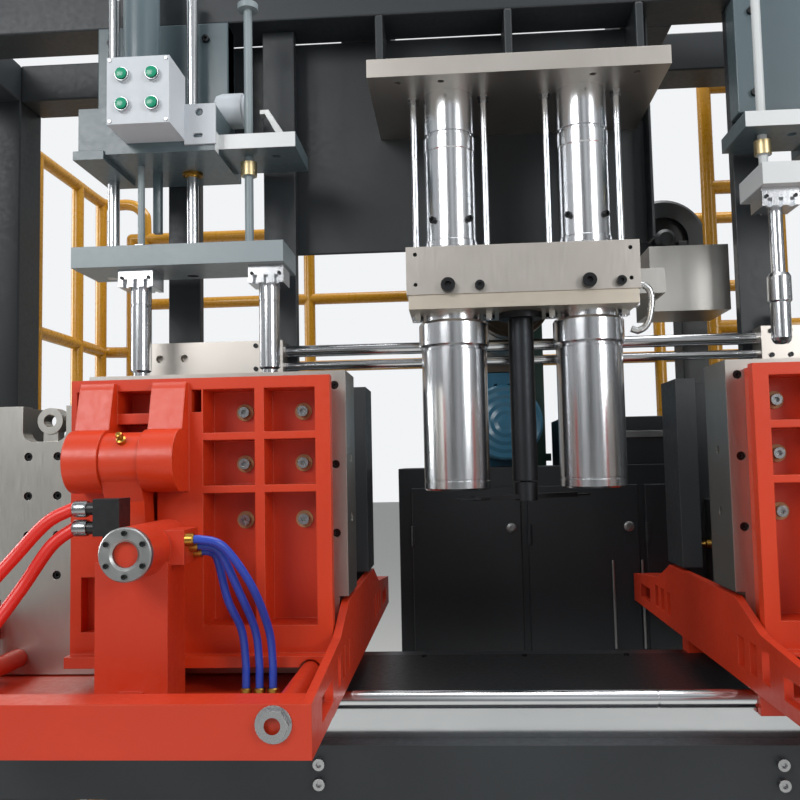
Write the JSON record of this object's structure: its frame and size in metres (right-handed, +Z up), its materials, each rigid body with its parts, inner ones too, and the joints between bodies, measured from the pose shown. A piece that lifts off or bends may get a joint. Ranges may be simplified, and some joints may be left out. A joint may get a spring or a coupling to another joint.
{
  "type": "blow moulding machine",
  "caption": "Double-station extrusion blow moulding machine with twin die heads, sliding mould carriages with red platens, and blow pins on guided plates under a gantry.",
  "frame": {"origin": "middle of the footprint on the floor, under the levelling feet", "axes": "+X along the machine to the right as seen from the front, +Y from the front to the rear, +Z up"},
  "size_m": [3.1, 2.207, 2.647],
  "materials": {
    "frame_paint": "satin dark paint",
    "foot_steel": "dark zinc",
    "ground_bar": "ground and polished",
    "rail_steel": "ground",
    "deck_paint": "satin black",
    "rail_yellow": "gloss yellow",
    "plate_steel": "milled",
    "polished": "polished",
    "dark_steel": "heat-tinted",
    "band_steel": "sheet",
    "gear_green": "dark green enamel",
    "motor_blue": "blue enamel",
    "hopper_steel": "stainless sheet",
    "knife_steel": "blackened",
    "light_paint": "light grey paint",
    "button_green": "gloss green",
    "blow_paint": "teal-grey enamel",
    "plate_paint": "pale grey-blue paint",
    "red_frame": "red-orange enamel",
    "red_casting": "red-orange enamel",
    "platen_steel": "ground",
    "mould_metal": "milled",
    "red_rubber": "smooth red",
    "blue_rubber": "smooth blue"
  },
  "bodies": {
    "machine_frame": {"base_frame": "frame_paint", "levelling_feet": "foot_steel", "front_guide_bar": "ground_bar", "rear_rail": "rail_steel", "deck_plate": "deck_paint", "portal_frame": "frame_paint", "guard_rail": "rail_yellow", "head_top_plate": "plate_steel", "head_tie_rods": "polished", "parison_cylinder_left": "polished", "parison_cylinder_right": "polished", "die_plate": "plate_steel", "head_clamp_plate": "plate_steel", "die_head_left": "polished", "die_head_right": "polished", "melt_manifold": "dark_steel", "extruder_barrel": "dark_steel", "heater_bands": "band_steel", "gearbox": "gear_green", "drive_motor": "motor_blue", "feed_hopper": "hopper_steel", "heat_shield": "band_steel", "cutter_bearing": "knife_steel", "transfer_bars": "ground_bar", "transfer_blocks": "plate_steel", "button_box": "light_paint", "control_cabinet": "light_paint", "blow_casting_left": "blow_paint", "blow_casting_right": "blow_paint"},
    "carriage_left": {"carriage_frame_left": "red_frame", "valve_block": "deck_paint", "red_hoses": "red_rubber", "blue_hoses": "blue_rubber"},
    "front_platen_unit_left": {"front_platen_left": "platen_steel", "front_casting_left": "red_casting", "front_mould_left": "mould_metal"},
    "rear_platen_unit_left": {"rear_platen_left": "red_frame", "rear_mould_left": "mould_metal"},
    "rocker_left": {"rocker_lever_left": "red_casting"},
    "blow_unit_left": {"moving_plate_left": "plate_paint", "guide_columns_left": "polished", "blow_pins_left": "polished"},
    "mandrel_left": {"mandrel_left": "polished"},
    "carriage_right": {"carriage_frame_right": "red_frame"},
    "front_platen_unit_right": {"front_platen_right": "platen_steel", "front_casting_right": "red_casting", "front_mould_right": "mould_metal"},
    "rear_platen_unit_right": {"rear_platen_right": "red_frame", "rear_mould_right": "mould_metal"},
    "rocker_right": {"rocker_lever_right": "red_casting"},
    "blow_unit_right": {"moving_plate_right": "plate_paint", "guide_columns_right": "polished", "blow_pins_right": "polished"},
    "mandrel_right": {"mandrel_right": "polished"},
    "cutter": {"cutter_arm": "knife_steel"},
    "button_1": {"button_1": "button_green"},
    "button_2": {"button_2": "button_green"},
    "button_3": {"button_3": "button_green"},
    "button_4": {"button_4": "button_green"},
    "cabinet_door": {"cabinet_door": "light_paint"}
  },
  "joints": [
    {"name": "carriage_slide_left", "type": "slide", "parent": "machine_frame", "child": "carriage_left", "axis": [1, 0, 0], "range_m": [0, 0.72]},
    {"name": "front_platen_slide_left", "type": "slide", "parent": "carriage_left", "child": "front_platen_unit_left", "axis": [0, 1, 0], "range_m": [0, 0.11]},
    {"name": "rear_platen_slide_left", "type": "slide", "parent": "carriage_left", "child": "rear_platen_unit_left", "axis": [0, -1, 0], "range_m": [0, 0.11]},
    {"name": "rocker_pivot_left", "type": "hinge", "parent": "carriage_left", "child": "rocker_left", "pos_m": [-0.747, -0.6452, 1.01], "axis": [1, 0, 0], "range_deg": [-16, 0.5]},
    {"name": "blow_slide_left", "type": "slide", "parent": "machine_frame", "child": "blow_unit_left", "axis": [0, 0, -1], "range_m": [0, 0.32]},
    {"name": "mandrel_slide_left", "type": "slide", "parent": "machine_frame", "child": "mandrel_left", "axis": [0, 0, -1], "range_m": [0, 0.008]},
    {"name": "carriage_slide_right", "type": "slide", "parent": "machine_frame", "child": "carriage_right", "axis": [1, 0, 0], "range_m": [-0.72, 0]},
    {"name": "front_platen_slide_right", "type": "slide", "parent": "carriage_right", "child": "front_platen_unit_right", "axis": [0, 1, 0], "range_m": [0, 0.11]},
    {"name": "rear_platen_slide_right", "type": "slide", "parent": "carriage_right", "child": "rear_platen_unit_right", "axis": [0, -1, 0], "range_m": [0, 0.11]},
    {"name": "rocker_pivot_right", "type": "hinge", "parent": "carriage_right", "child": "rocker_right", "pos_m": [0.747, -0.6452, 1.01], "axis": [1, 0, 0], "range_deg": [-16, 0.5]},
    {"name": "blow_slide_right", "type": "slide", "parent": "machine_frame", "child": "blow_unit_right", "axis": [0, 0, -1], "range_m": [0, 0.365]},
    {"name": "mandrel_slide_right", "type": "slide", "parent": "machine_frame", "child": "mandrel_right", "axis": [0, 0, -1], "range_m": [0, 0.008]},
    {"name": "cutter_spindle", "type": "hinge", "parent": "machine_frame", "child": "cutter", "pos_m": [0, -0.3, 1.318], "axis": [0, 0, -1], "range_deg": [0, 64]},
    {"name": "button_press_1", "type": "slide", "parent": "machine_frame", "child": "button_1", "axis": [0, 1, 0], "range_m": [0, 0.005], "stiffness_N_per_m": 400},
    {"name": "button_press_2", "type": "slide", "parent": "machine_frame", "child": "button_2", "axis": [0, 1, 0], "range_m": [0, 0.005], "stiffness_N_per_m": 400},
    {"name": "button_press_3", "type": "slide", "parent": "machine_frame", "child": "button_3", "axis": [0, 1, 0], "range_m": [0, 0.005], "stiffness_N_per_m": 400},
    {"name": "button_press_4", "type": "slide", "parent": "machine_frame", "child": "button_4", "axis": [0, 1, 0], "range_m": [0, 0.005], "stiffness_N_per_m": 400},
    {"name": "door_hinge", "type": "hinge", "parent": "machine_frame", "child": "cabinet_door", "pos_m": [1.5395, 1.098, 0.93], "axis": [0, 0, 1], "range_deg": [0, 100]}
  ],
  "couplings": [
    {"joint": "rear_platen_slide_left", "follows": "front_platen_slide_left", "ratio": 1},
    {"joint": "rocker_pivot_left", "follows": "front_platen_slide_left", "rad_per_m": -2.4542},
    {"joint": "rear_platen_slide_right", "follows": "front_platen_slide_right", "ratio": 1},
    {"joint": "rocker_pivot_right", "follows": "front_platen_slide_right", "rad_per_m": -2.4542}
  ]
}
